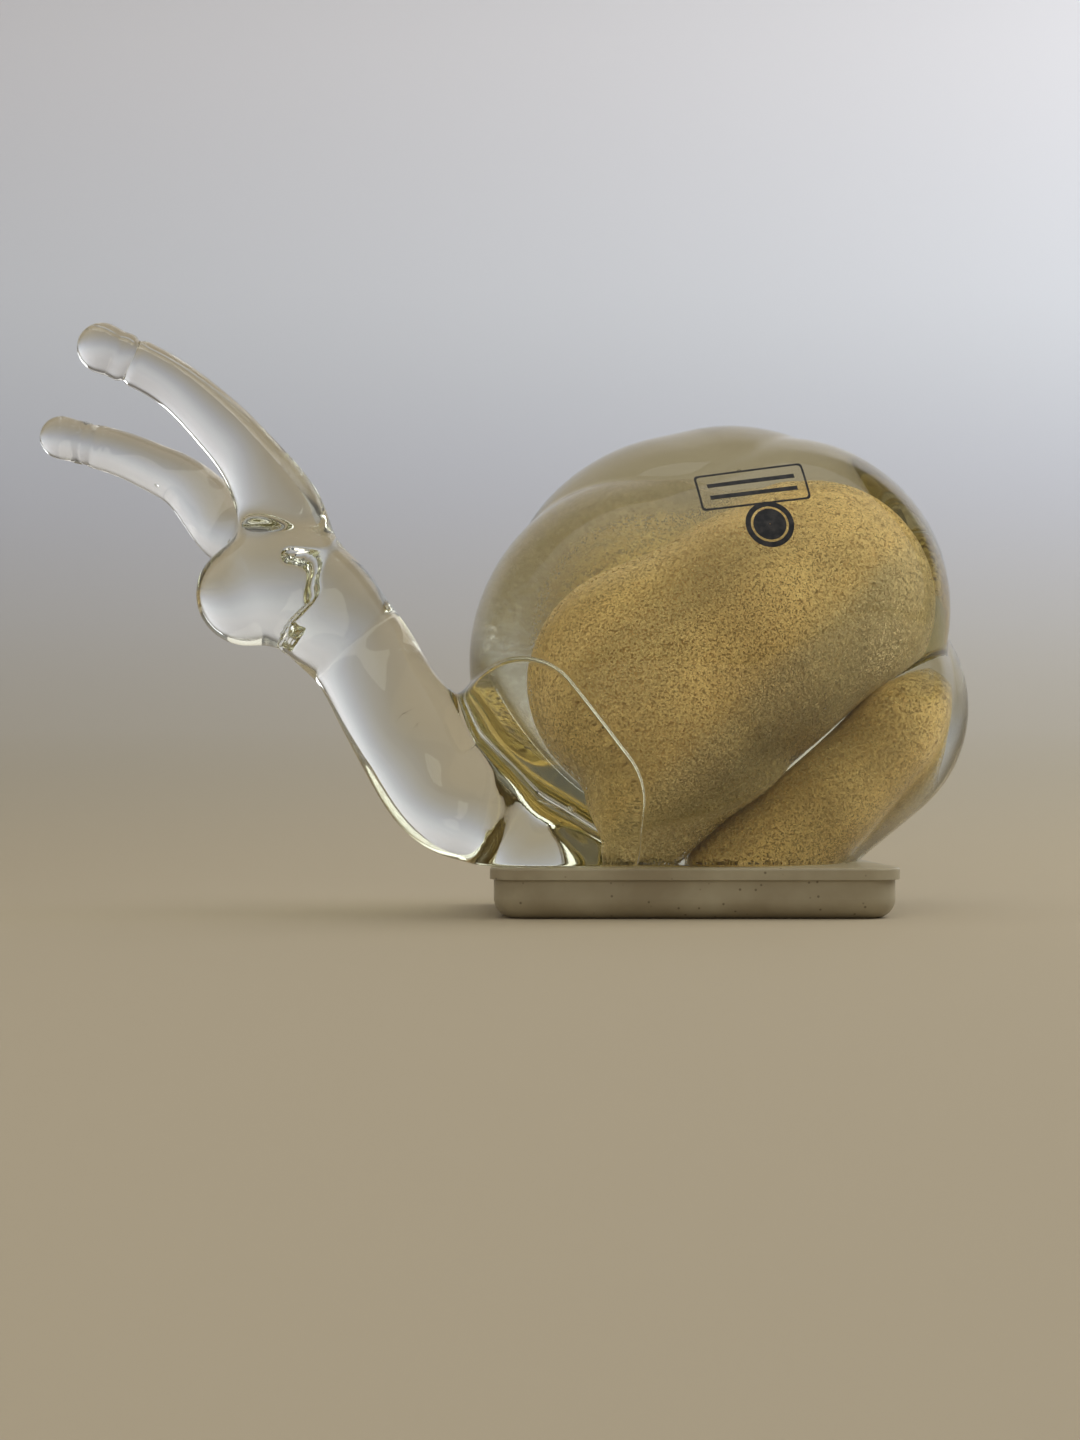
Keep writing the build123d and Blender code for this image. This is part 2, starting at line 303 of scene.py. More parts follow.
def round_cone(points, begin, finish, begin_radius, finish_radius):
    """Distance to two balls and the cone that touches both."""
    span = finish - begin
    span2 = float(span @ span)
    drop = begin_radius - finish_radius
    slant2 = span2 - drop * drop
    offset = points - begin
    climb = offset @ span
    beyond = climb - span2
    side2 = ((offset * span2 - span * climb[:, None]) ** 2).sum(axis=1)
    climb2 = climb * climb * span2
    beyond2 = beyond * beyond * span2
    limit = np.sign(drop) * drop * drop * side2
    on_finish = np.sqrt(side2 + beyond2) / span2 - finish_radius
    on_begin = np.sqrt(side2 + climb2) / span2 - begin_radius
    on_side = (np.sqrt(side2 * slant2 / span2) + climb * drop) / span2 - begin_radius
    result = np.where(np.sign(climb) * slant2 * climb2 < limit, on_begin, on_side)
    return np.where(np.sign(beyond) * slant2 * beyond2 > limit, on_finish, result)


def soft_min(first, second, blend):
    """The nearer of two distances, with the corner between them rounded."""
    part = np.maximum(blend - np.abs(first - second), 0.0) / blend
    return np.minimum(first, second) - part * part * part * blend / 6.0


def soft_max(first, second, blend):
    return -soft_min(-first, -second, blend)


def spline(rows):
    """Cubic pieces of the smoothest curve through rows of numbers."""
    rows = np.asarray(rows, dtype=float)
    count = len(rows)
    system = np.eye(count)
    wanted = np.zeros_like(rows)
    for i in range(1, count - 1):
        system[i, i - 1 : i + 2] = (1.0, 4.0, 1.0)
        wanted[i] = 6.0 * (rows[i + 1] - 2.0 * rows[i] + rows[i - 1])
    bend = np.linalg.solve(system, wanted)
    first, second = rows[:-1], rows[1:]
    return np.stack(
        (
            first,
            second - first - (2.0 * bend[:-1] + bend[1:]) / 6.0,
            bend[:-1] / 2.0,
            (bend[1:] - bend[:-1]) / 6.0,
        ),
        axis=1,
    )


def limb_line(root, span, radius, shares):
    """Cubic pieces of a limb's centre and radius."""
    return spline(
        [
            (
                root[0] + span[0] * reach,
                root[1] + span[1] * side,
                root[2] + span[2] * rise,
                radius * thick,
            )
            for reach, side, rise, thick in shares
        ]
    )


def line_at(pieces, place):
    """The cubic pieces that places fall on, how far along each they are, and the curve there."""
    index = np.minimum(place.astype(int), len(pieces) - 1)
    t = (place - index)[:, None]
    c = pieces[index]
    return c, t, c[:, 0] + t * (c[:, 1] + t * (c[:, 2] + t * c[:, 3]))


def limb(points, pieces, waists=()):
    """Distance to a limb: the nearest place on its middle line, less the radius there."""
    last = len(pieces)
    starts = np.linspace(0.0, last - 1e-6, LIMB_STARTS * last)
    table = line_at(pieces, starts)[2]
    centres, radii = table[:, :3], table[:, 3]
    low = centres.min(axis=0) - radii.max()
    high = centres.max(axis=0) + radii.max()
    result = length_of(np.maximum(np.maximum(low - points, points - high), 0.0))
    close = np.flatnonzero(result < FAR_ENOUGH)
    for start in range(0, len(close), LIMB_BLOCK):
        chosen = close[start : start + LIMB_BLOCK]
        block = points[chosen]
        gap2 = (centres * centres).sum(axis=1)[None] - 2 * block @ centres.T
        place = starts[gap2.argmin(axis=1)]
        for _ in range(LIMB_ROUNDS):
            c, t, value = line_at(pieces, place)
            speed = (c[:, 1] + t * (2 * c[:, 2] + t * 3 * c[:, 3]))[:, :3]
            turn = (2 * c[:, 2] + 6 * t * c[:, 3])[:, :3]
            away = block - value[:, :3]
            push = (away * speed).sum(axis=1)
            speed2 = (speed * speed).sum(axis=1)
            stiff = np.maximum(speed2 - (away * turn).sum(axis=1), 0.2 * speed2)
            place = np.clip(place + push / stiff, 0.0, last - 1e-9)
        value = line_at(pieces, place)[2]
        radius = value[:, 3]
        for middle, depth, width in waists:
            radius = radius - depth * np.exp(-(((place - middle) / width) ** 2))
        result[chosen] = length_of(block - value[:, :3]) - radius
    return result


def shell_place(x_share, y_share, z_share):
    """A place in the shell's tilted frame, from shares of the shell radius."""
    shares = ALONG * x_share + BACKWARD * y_share + COIL_AXIS * z_share
    return SHELL_MIDDLE + SHELL_RADIUS * shares


def barrel(points, shares):
    """Distance to one barrel of the shell, given by its shares of the shell radius."""
    begin, finish, begin_share, finish_share = shares
    return round_cone(
        points,
        shell_place(*begin),
        shell_place(*finish),
        SHELL_RADIUS * begin_share,
        SHELL_RADIUS * finish_share,
    )


def shell(points):
    """Distance to both turns of the casing, each a front and a back barrel."""
    first = soft_min(barrel(points, FIRST_FRONT), barrel(points, FIRST_BACK), TURN_BLEND)
    second = soft_min(barrel(points, SECOND_FRONT), barrel(points, SECOND_BACK), TURN_BLEND)
    return soft_min(first, second, SEAM_BLEND)


LOBES = [
    (
        FOOT_PLACE + np.array((FOOT_SIZE * x_share, 0.0, FOOT_SIZE * height_share)),
        FOOT_SIZE * radius_share,
    )
    for x_share, height_share, radius_share in FOOT_SHARES
]


def foot_outline(points):
    """Distance to the outline round the lobes, seen from the front."""
    flat = points * np.array((1.0, 0.0, 1.0))
    result = None
    for i, j in ((0, 1), (1, 2), (0, 2)):
        begin = LOBES[i][0] * np.array((1.0, 0.0, 1.0))
        finish = LOBES[j][0] * np.array((1.0, 0.0, 1.0))
        part = round_cone(flat, begin, finish, LOBES[i][1], LOBES[j][1])
        result = part if result is None else np.minimum(result, part)
    return result


def foot(points, shell_distance):
    """Distance to the foot: three lobes, and the lip that wraps up over the shell."""
    (top, top_radius), (side, side_radius), (floor, floor_radius) = LOBES
    lobes = soft_min(
        round_cone(points, top, side, top_radius, side_radius),
        round_cone(points, side, floor, side_radius, floor_radius),
        FOOT_BLEND,
    )
    wrap = soft_max(shell_distance - FOOT_WRAP, foot_outline(points), WRAP_BLEND)
    return soft_min(lobes, wrap, FOOT_BLEND)


NECK_LINE = limb_line(NECK_END, NECK_SPAN, NECK_RADIUS, NECK_SHARES)
NEAR_LINE = limb_line(NEAR_ROOT, NEAR_SPAN, NEAR_RADIUS, NEAR_SHARES)
FAR_LINE = limb_line(FAR_ROOT, FAR_SPAN, FAR_RADIUS, FAR_SHARES)
CREASE_LINE = [
    c[0] + t * (c[1] + t * (c[2] + t * c[3]))
    for c in spline(CREASE_PLACES)
    for t in (0.0, 0.25, 0.5, 0.75)
]
CREASE_LINE.append(np.array(CREASE_PLACES[-1]))


def beside_crease(points):
    """Sideways distance to the crease's line, seen from behind, far larger on the near side."""
    flat = points[:, [0, 2]] - HEAD_MIDDLE[[0, 2]]
    result = None
    for begin, finish in zip(CREASE_LINE, CREASE_LINE[1:]):
        span = finish - begin
        share = np.clip((flat - begin) @ span / (span @ span), 0.0, 1.0)
        part = length_of(flat - begin - share[:, None] * span)
        result = part if result is None else np.minimum(result, part)
    return result + np.maximum(HEAD_MIDDLE[1] + CREASE_REAR - points[:, 1], 0.0)


def creased(distance, points):
    """The same distance with the V-shaped crease cut into it."""
    spread = CREASE_HALF_WIDTH / CREASE_DEPTH
    cut = beside_crease(points) - CREASE_HALF_WIDTH - distance * spread
    return soft_max(distance, -cut / math.hypot(1.0, spread), CREASE_BLEND)


def hand_waves(points):
    """The slight unevenness of hot-worked glass, which only takes glass away."""
    total = float(len(WAVES))
    for along, sway, wave_length, sway_height, sway_length, phase in WAVES:
        bend = sway_height * np.sin(points[:, sway] / sway_length)
        total = total + np.sin(points[:, along] / wave_length + bend + phase)
    return WAVE_HEIGHT * total


def base_gather(points):
    """Distance to the shell's casing and the foot together."""
    shell_distance = shell(points)
    return soft_min(shell_distance, foot(points, shell_distance), RIM_BLEND)


def front_gather(points):
    """Distance to the neck, head and tentacles together."""
    head = round_cone(points, HEAD_MIDDLE, MUZZLE_MIDDLE, HEAD_RADIUS, MUZZLE_RADIUS)
    front = soft_min(limb(points, NECK_LINE), head, HEAD_BLEND)
    near = limb(points, NEAR_LINE, NEAR_WAISTS)
    far = limb(points, FAR_LINE, FAR_WAISTS)
    tentacles = soft_min(near, far, TENTACLE_BLEND)
    return creased(soft_min(front, tentacles, TENTACLE_BLEND), points)


def on_ground(distance, points):
    """The same distance with the ground face cut under it."""
    return soft_max(distance, STAND_HEIGHT + GROUND_GAP - points[:, 2], GROUND_EDGE)


def clear_body(points):
    """Casing, foot, neck, head and tentacles fused into one body of glass."""
    body = soft_min(base_gather(points), front_gather(points), NECK_BLEND)
    return on_ground(body + hand_waves(points), points)


def gold_rope(points, rows, grow=0.0):
    """Distance to a bent rope of gold in the shell's frame."""
    rope = None
    for begin, finish in zip(rows, rows[1:]):
        part = round_cone(
            points,
            shell_place(*begin[:3]),
            shell_place(*finish[:3]),
            SHELL_RADIUS * begin[3] + grow,
            SHELL_RADIUS * finish[3] + grow,
        )
        rope = part if rope is None else soft_min(rope, part, GOLD_BLEND)
    floor = STAND_HEIGHT + GOLD_FLOOR - grow
    return soft_max(rope, floor - points[:, 2], GOLD_FLOOR_EDGE)


def gradient(shape, points, step=0.05):
    """The direction in which a shape's distance grows, at each point."""
    result = np.empty_like(points)
    for axis in range(3):
        shift = np.zeros(3)
        shift[axis] = step
        result[:, axis] = (shape(points + shift) - shape(points - shift)) / (2 * step)
    return result


def settle(shape, points, rounds=2):
    """Moves points onto the surface along its steepest direction."""
    step = 0.01
    longest_move = 1.0
    least_slope2 = 0.05
    for _ in range(rounds):
        here = shape(points)
        slope = np.empty_like(points)
        for axis in range(3):
            shift = np.zeros(3)
            shift[axis] = step
            slope[:, axis] = (shape(points + shift) - here) / step
        size2 = np.maximum((slope * slope).sum(axis=1), least_slope2)
        move = np.clip(here, -longest_move, longest_move) / size2
        points = points - slope * move[:, None]
    return points


def finer(values):
    """A coarse grid's values on the corners of the fine grid."""
    for axis in range(3):
        values = np.repeat(values, COARSE_CELLS, axis)
    return np.pad(values, [(0, 1)] * 3, mode="edge")


def net(shape, low, high, pitch):
    """Quads over the surface of a shape, one corner in each grid cell that it passes through."""
    block = pitch * COARSE_CELLS
    blocks = [math.ceil((h - l) / block) for l, h in zip(low, high)]
    axes = [l + block * (np.arange(n) + 0.5) for l, n in zip(low, blocks)]
    middles = np.stack(np.meshgrid(*axes, indexing="ij"), axis=-1)
    depth = shape(middles.reshape(-1, 3)).reshape(blocks)
    field = finer(depth)
    wanted = finer(np.abs(depth) < pitch * NEAR_CELLS)
    places = np.argwhere(wanted)
    field[wanted] = shape(np.array(low) + pitch * places)
    inside = field < 0
    corners = [(i, j, k) for i in (0, 1) for j in (0, 1) for k in (0, 1)]
    cells = [n * COARSE_CELLS for n in blocks]
    total = np.zeros(cells, dtype=int)
    for i, j, k in corners:
        total += inside[i : i + cells[0], j : j + cells[1], k : k + cells[2]]
    used = (total > 0) & (total < 8)
    number = -np.ones(cells, dtype=int)
    number[used] = np.arange(used.sum())
    where = np.argwhere(used)
    points = np.array(low) + pitch * (where + 0.5)
    quads = []
    for axis in range(3):
        one, two = (axis + 1) % 3, (axis + 2) % 3
        before = [slice(None)] * 3
        after = [slice(None)] * 3
        before[axis], after[axis] = slice(0, -1), slice(1, None)
        crossing = inside[tuple(before)] != inside[tuple(after)]
        places = np.argwhere(crossing)
        good = (places[:, one] > 0) & (places[:, two] > 0)
        good &= (places[:, one] < cells[one]) & (places[:, two] < cells[two])
        places = places[good]
        leaving = inside[tuple(before)][tuple(places.T)]
        ring = []
        for back_one, back_two in ((1, 1), (0, 1), (0, 0), (1, 0)):
            cell = places.copy()
            cell[:, one] -= back_one
            cell[:, two] -= back_two
            ring.append(number[tuple(cell.T)])
        ring = np.stack(ring, axis=1)
        ring[~leaving] = ring[~leaving][:, ::-1]
        quads.append(ring)
    return points, np.vstack(quads)


def split_quads(points, quads):
    """Each quad becomes four."""
    edges = np.sort(np.stack((quads, np.roll(quads, -1, axis=1)), axis=2).reshape(-1, 2), axis=1)
    unique, back = np.unique(edges, axis=0, return_inverse=True)
    back = back.reshape(-1, 4)
    count = len(points)
    middles = points[unique].mean(axis=1)
    centres = points[quads].mean(axis=1)
    edge_id = count + back
    centre_id = count + len(unique) + np.arange(len(quads))
    parts = []
    for corner in range(4):
        parts.append(
            np.stack(
                (quads[:, corner], edge_id[:, corner], centre_id, edge_id[:, corner - 1]), axis=1
            )
        )
    return np.vstack((points, middles, centres)), np.vstack(parts)


def relax(shape, points, quads, rounds):
    """Evens out the spacing of the corners, keeping them on the surface."""
    edges = np.sort(np.stack((quads, np.roll(quads, -1, axis=1)), axis=2).reshape(-1, 2), axis=1)
    edges = np.unique(edges, axis=0)
    count = np.bincount(edges.ravel(), minlength=len(points))[:, None]
    for _ in range(rounds):
        total = np.zeros_like(points)
        for axis in range(3):
            total[:, axis] = np.bincount(
                edges[:, 0], points[edges[:, 1], axis], minlength=len(points)
            ) + np.bincount(edges[:, 1], points[edges[:, 0], axis], minlength=len(points))
        points = settle(shape, 0.5 * points + 0.5 * total / count, rounds=1)
    return points


def refine(shape, points, quads, others, turn):
    """Splits the quads across which the surface turns by more than an angle, and by the crease."""
    normals = gradient(shape, points)
    normals /= length_of(normals)[:, None]
    corner_normals = normals[quads]
    middle = corner_normals.mean(axis=1)
    middle /= length_of(middle)[:, None]
    spread = (corner_normals * middle[:, None]).sum(axis=2).min(axis=1)
    marked = spread < math.cos(math.radians(turn))
    marked |= beside_crease(points[quads].mean(axis=1)) < CREASE_REACH
    count = len(points)
    ends = np.sort(np.stack((quads, np.roll(quads, -1, axis=1)), axis=2), axis=2)
    code = ends[:, :, 0] * count + ends[:, :, 1]
    split_codes, back = np.unique(code[marked].ravel(), return_inverse=True)
    back = back.reshape(-1, 4)
    middles = (points[split_codes // count] + points[split_codes % count]) / 2
    centres = points[quads[marked]].mean(axis=1)
    edge_id = count + back
    centre_id = count + len(split_codes) + np.arange(marked.sum())
    small = [
        np.stack((quads[marked][:, c], edge_id[:, c], centre_id, edge_id[:, c - 1]), axis=1)
        for c in range(4)
    ]
    touched = np.isin(code, split_codes) & ~marked[:, None]
    beside = touched.any(axis=1)
    number = {int(c): count + i for i, c in enumerate(split_codes)}
    grown = []
    for face in [tuple(q) for q in quads[beside].tolist()] + others:
        ring = []
        for here, there in zip(face, face[1:] + face[:1]):
            ring.append(here)
            key = min(here, there) * count + max(here, there)
            if key in number:
                ring.append(number[key])
        grown.append(tuple(ring))
    plain = quads[~marked & ~beside]
    fresh = settle(shape, np.vstack((middles, centres)), rounds=3)
    return np.vstack((points, fresh)), np.vstack([plain] + small), grown


def drape(flat, lift):
    """Places of flat points (x, z) on the front of the glass, lifted off it."""
    points = np.array([(x, DRAPE_START, z) for x, z in flat])
    for _ in range(DRAPE_ROUNDS):
        points[:, 1] += clear_body(points)
    normals = gradient(clear_body, points)
    normals /= length_of(normals)[:, None]
    return points + normals * lift


def bubble(centre, reach, lean):
    """Points, faces and normals of a small hollow in the glass, longer along its leaning axis."""
    across = np.array((math.cos(lean), 0.0, math.sin(lean)))
    up = np.array((-math.sin(lean), 0.0, math.cos(lean)))
    own_axes = np.stack((across, BACKWARD, up))
    ball = [(1.0, 0.0, 0.0)]
    for i in range(1, BUBBLE_RINGS):
        polar = math.pi * i / BUBBLE_RINGS
        for j in range(BUBBLE_SIDES):
            turn = 2 * math.pi * j / BUBBLE_SIDES
            side = math.sin(polar)
            ball.append((math.cos(polar), side * math.cos(turn), side * math.sin(turn)))
    ball.append((-1.0, 0.0, 0.0))
    ball = np.array(ball)
    points = centre + (ball * reach) @ own_axes
    normals = -(ball / reach) @ own_axes
    faces = []
    last = len(ball) - 1
    last_ring = last - BUBBLE_SIDES
    for j in range(BUBBLE_SIDES):
        k = (j + 1) % BUBBLE_SIDES
        faces.append((0, 1 + k, 1 + j))
        for here in range(1, last_ring, BUBBLE_SIDES):
            there = here + BUBBLE_SIDES
            faces.append((here + j, here + k, there + k, there + j))
        faces.append((last_ring + j, last_ring + k, last))
    return points, faces, normals / length_of(normals)[:, None]


def mesh_object(name, points, faces, smooth=False):
    """A linked mesh object, with its points in metres."""
    mesh = bpy.data.meshes.new(name)
    mesh.from_pydata(points, [], faces)
    if smooth:
        mesh.polygons.foreach_set("use_smooth", np.ones(len(faces), dtype=bool))
    obj = bpy.data.objects.new(name, mesh)
    bpy.context.scene.collection.objects.link(obj)
    return obj


def surface(name, shape, box, pitch, divide=1, turns=(), hollows=()):
    """A closed smooth mesh object of a shape, with small hollows inside it."""
    points, quads = net(shape, *box, pitch)
    points = settle(shape, points, rounds=3)
    points = relax(shape, points, quads, rounds=3)
    for _ in range(divide):
        points, quads = split_quads(points, quads)
        points = settle(shape, points, rounds=2)
        points = relax(shape, points, quads, rounds=2)
    points = settle(shape, points, rounds=2)
    others = []
    for turn in turns:
        points, quads, others = refine(shape, points, quads, others, turn)
    faces = quads.tolist() + others
    normals = gradient(shape, points)
    normals /= length_of(normals)[:, None]
    for more_points, more_faces, more_normals in hollows:
        base = len(points)
        points = np.vstack((points, more_points))
        faces += [tuple(base + i for i in face) for face in more_faces]
        normals = np.vstack((normals, more_normals))
    obj = mesh_object(name, (points * METRES).tolist(), faces, smooth=True)
    obj.data.normals_split_custom_set_from_vertices(normals.tolist())
    obj.data.update()
    return obj


def new_material(name):
    mat = bpy.data.materials.new(name)
    mat.use_nodes = True
    tree = mat.node_tree
    tree.nodes.clear()
    return mat, tree, tree.nodes.new("ShaderNodeOutputMaterial")


def add_node(tree, kind, sockets=None, **settings):
    """A node with its settings, and with its sockets set to values or joined to outputs."""
    node = tree.nodes.new(kind)
    for setting, value in settings.items():
        setattr(node, setting, value)
    for socket, value in (sockets or {}).items():
        if isinstance(value, bpy.types.NodeSocket):
            tree.links.new(value, node.inputs[socket])
        else:
            node.inputs[socket].default_value = value
    return node


def object_place(tree):
    return add_node(tree, "ShaderNodeTexCoord").outputs["Object"]


def add_ramp(tree, source, stops, interpolation="LINEAR"):
    """A colour that follows a source value through (position, colour) stops."""
    node = add_node(tree, "ShaderNodeValToRGB", {"Fac": source})
    ramp = node.color_ramp
    ramp.interpolation = interpolation
    while len(ramp.elements) < len(stops):
        ramp.elements.new(0.5)
    for element, (position, _) in zip(ramp.elements, stops):
        element.position = position
    for element, (_, colour) in zip(ramp.elements, stops):
        element.color = (*colour, 1.0)
    return node.outputs["Color"]


def add_range(tree, source, low, high, to_low=0.0, to_high=1.0, interpolation="LINEAR"):
    """A source value carried from one pair of limits to another."""
    sockets = {
        "Value": source,
        "From Min": low,
        "From Max": high,
        "To Min": to_low,
        "To Max": to_high,
    }
    node = add_node(tree, "ShaderNodeMapRange", sockets, interpolation_type=interpolation)
    return node.outputs[0]


def multiplied(tree, share, first, second):
    """One colour multiplied by another, by a share from 0 to 1."""
    sockets = {0: share, 6: first, 7: second}
    node = add_node(tree, "ShaderNodeMix", sockets, data_type="RGBA", blend_type="MULTIPLY")
    return node.outputs[2]


def mixed_shaders(tree, share, first, second):
    return add_node(tree, "ShaderNodeMixShader", {0: share, 1: first, 2: second}).outputs[0]


def clear_glass_material():
    """Clear soda glass with a faint warm green cast that deepens with thickness."""
    mat, tree, output = new_material("clear_glass_look")
    glass_sockets = {
        "Base Color": (1.0, 1.0, 1.0, 1.0),
        "Roughness": 0.0,
        "IOR": 1.5,
        "Transmission Weight": 1.0,
    }
    glass = add_node(tree, "ShaderNodeBsdfPrincipled", glass_sockets).outputs[0]
    clear = add_node(tree, "ShaderNodeBsdfTransparent", {"Color": (0.93, 0.93, 0.91, 1.0)})
    shadow = add_node(tree, "ShaderNodeLightPath").outputs["Is Shadow Ray"]
    skin = mixed_shaders(tree, shadow, glass, clear.outputs[0])
    tree.links.new(skin, output.inputs["Surface"])
    cast = {"Color": (0.80, 0.80, 0.66, 1.0), "Density": 18.0}
    absorb = add_node(tree, "ShaderNodeVolumeAbsorption", cast)
    tree.links.new(absorb.outputs[0], output.inputs["Volume"])
    return mat


def coil_streaks(tree, coil, seed):
    """Greyer streaks drawn out along the coil."""
    stretch = add_node(tree, "ShaderNodeMapping", {"Vector": coil, "Scale": (0.25, 1.0, 1.0)})
    sockets = {"Vector": stretch.outputs[0], "W": seed, "Scale": 70.0, "Detail": 4.0}
    streak = add_node(tree, "ShaderNodeTexNoise", sockets, noise_dimensions="4D")
    stops = ((0.36, (0.74, 0.76, 0.80)), (0.62, (1.0, 1.0, 1.0)))
    return add_ramp(tree, streak.outputs["Fac"], stops)


def grey_crackle(tree, coil, colour):
    """The colour greyed and finely crackled in a band low on the coil."""
    height = add_node(tree, "ShaderNodeSeparateXYZ", {0: coil}).outputs["Z"]
    band_limits = (GREY_BAND_TOP * METRES, GREY_BAND_MIDDLE * METRES)
    band = add_range(tree, height, *band_limits, interpolation="SMOOTHSTEP")
    sockets = {
        "Vector": coil,
        "Scale": 300.0,
        "Distortion": 14.0,
        "Detail": 3.0,
        "Detail Scale": 0.55,
    }
    crackle = add_node(tree, "ShaderNodeTexWave", sockets)
    stops = ((0.0, (0.78, 0.82, 0.93)), (1.0, (0.88, 0.94, 1.10)))
    ridges = add_ramp(tree, crackle.outputs["Fac"], stops)
    return multiplied(tree, band, colour, ridges)


def flake_normal(tree, drawn_colour):
    """The surface's direction, leaned by each flake's own drawn colour."""
    sockets = {0: drawn_colour, 1: FLAKE_LEAN, 2: FLAKE_REST}
    lean = add_node(tree, "ShaderNodeVectorMath", sockets, operation="MULTIPLY_ADD")
    straight = add_node(tree, "ShaderNodeNewGeometry").outputs["Normal"]
    sockets = {0: straight, 1: SURFACE_SHARE}
    eased = add_node(tree, "ShaderNodeVectorMath", sockets, operation="MULTIPLY")
    sockets = {0: eased.outputs[0], 1: lean.outputs[0]}
    total = add_node(tree, "ShaderNodeVectorMath", sockets, operation="ADD")
    unit = add_node(tree, "ShaderNodeVectorMath", {0: total.outputs[0]}, operation="NORMALIZE")
    return unit.outputs[0]


def gold_material(name, seed, cover, crackled):
    """Gold dust: packed flakes, each tilted its own way, duller and thinner towards the back.

    The flakes cover a share of the surface, or all of it where cover is None."""
    mat, tree, output = new_material(name)
    place = object_place(tree)
    sockets = {"Vector": place, "Angle": COIL_TILT}
    turned = add_node(tree, "ShaderNodeVectorRotate", sockets, rotation_type="Y_AXIS")
    coil = turned.outputs[0]
    flakes = add_node(tree, "ShaderNodeTexVoronoi", {"Vector": place, "Scale": FLAKE_SCALE})
    drawn = add_node(tree, "ShaderNodeSeparateColor", {0: flakes.outputs["Color"]})
    sockets = {"Vector": place, "W": seed, "Scale": GRAIN_SCALE, "Detail": 2.0}
    grain = add_node(tree, "ShaderNodeTexNoise", sockets, noise_dimensions="4D")
    sockets = {0: FLAKE_SHARE, 2: grain.outputs["Fac"], 3: drawn.outputs["Green"]}
    sparkle = add_node(tree, "ShaderNodeMix", sockets)
    stops = ((0.30, (0.74, 0.49, 0.17)), (0.75, (1.0, 0.73, 0.27)))
    colour = add_ramp(tree, sparkle.outputs[0], stops)
    colour = multiplied(tree, 1.0, colour, coil_streaks(tree, coil, seed + 3.0))
    depth = add_node(tree, "ShaderNodeSeparateXYZ", {0: place}).outputs["Y"]
    rear = add_range(tree, depth, *DULL_DEPTHS)
    colour = multiplied(tree, rear, colour, (0.62, 0.66, 0.80, 1.0))
    if crackled:
        colour = grey_crackle(tree, coil, colour)
    sockets = {
        "Base Color": colour,
        "Metallic": 0.35,
        "Roughness": 0.40,
        "Normal": flake_normal(tree, flakes.outputs["Color"]),
    }
    gold = add_node(tree, "ShaderNodeBsdfPrincipled", sockets)
    shown = add_range(tree, depth, *THIN_DEPTHS, 1.0, THIN_COVER)
    if cover is not None:
        white, black = (1.0, 1.0, 1.0), (0.0, 0.0, 0.0)
        stops = ((cover - DUST_EDGE, white), (cover + DUST_EDGE, black))
        mask = add_ramp(tree, drawn.outputs["Red"], stops)
        thinned = add_node(tree, "ShaderNodeMath", {0: mask, 1: shown}, operation="MULTIPLY")
        shown = thinned.outputs[0]
    clear = add_node(tree, "ShaderNodeBsdfTransparent").outputs[0]
    tree.links.new(mixed_shaders(tree, shown, clear, gold.outputs[0]), output.inputs["Surface"])
    return mat


def stand_material():
    """Cream glazed tray with fine dark specks and soft stains."""
    mat, tree, output = new_material("stand_look")
    place = object_place(tree)
    sockets = {"Vector": place, "Scale": 60.0, "Detail": 6.0}
    cloud = add_node(tree, "ShaderNodeTexNoise", sockets).outputs["Fac"]
    stains = ((0.35, (0.295, 0.242, 0.150)), (0.65, (0.41, 0.357, 0.240)))
    speck = add_node(tree, "ShaderNodeTexVoronoi", {"Vector": place, "Scale": 420.0})
    dots = ((0.07, (0.45, 0.42, 0.38)), (0.14, (1.0, 1.0, 1.0)))
    colour = multiplied(
        tree,
        1.0,
        add_ramp(tree, cloud, stains),
        add_ramp(tree, speck.outputs["Distance"], dots),
    )
    sockets = {"Height": cloud, "Strength": 0.15, "Distance": 0.0003}
    bump = add_node(tree, "ShaderNodeBump", sockets)
    sockets = {
        "Base Color": colour,
        "Roughness": 0.38,
        "Coat Weight": 0.25,
        "Normal": bump.outputs[0],
    }
    glaze = add_node(tree, "ShaderNodeBsdfPrincipled", sockets)
    tree.links.new(glaze.outputs[0], output.inputs["Surface"])
    return mat


def ink_material():
    """Black print ink, slightly worn."""
    mat, tree, output = new_material("label_ink_look")
    sockets = {"Vector": object_place(tree), "Scale": 700.0, "Detail": 5.0}
    wear = add_node(tree, "ShaderNodeTexNoise", sockets)
    stops = ((0.4, (0.012, 0.012, 0.012)), (0.8, (0.05, 0.045, 0.04)))
    colour = add_ramp(tree, wear.outputs["Fac"], stops)
    ink = add_node(tree, "ShaderNodeBsdfPrincipled", {"Base Color": colour, "Roughness": 0.45})
    tree.links.new(ink.outputs[0], output.inputs["Surface"])
    return mat


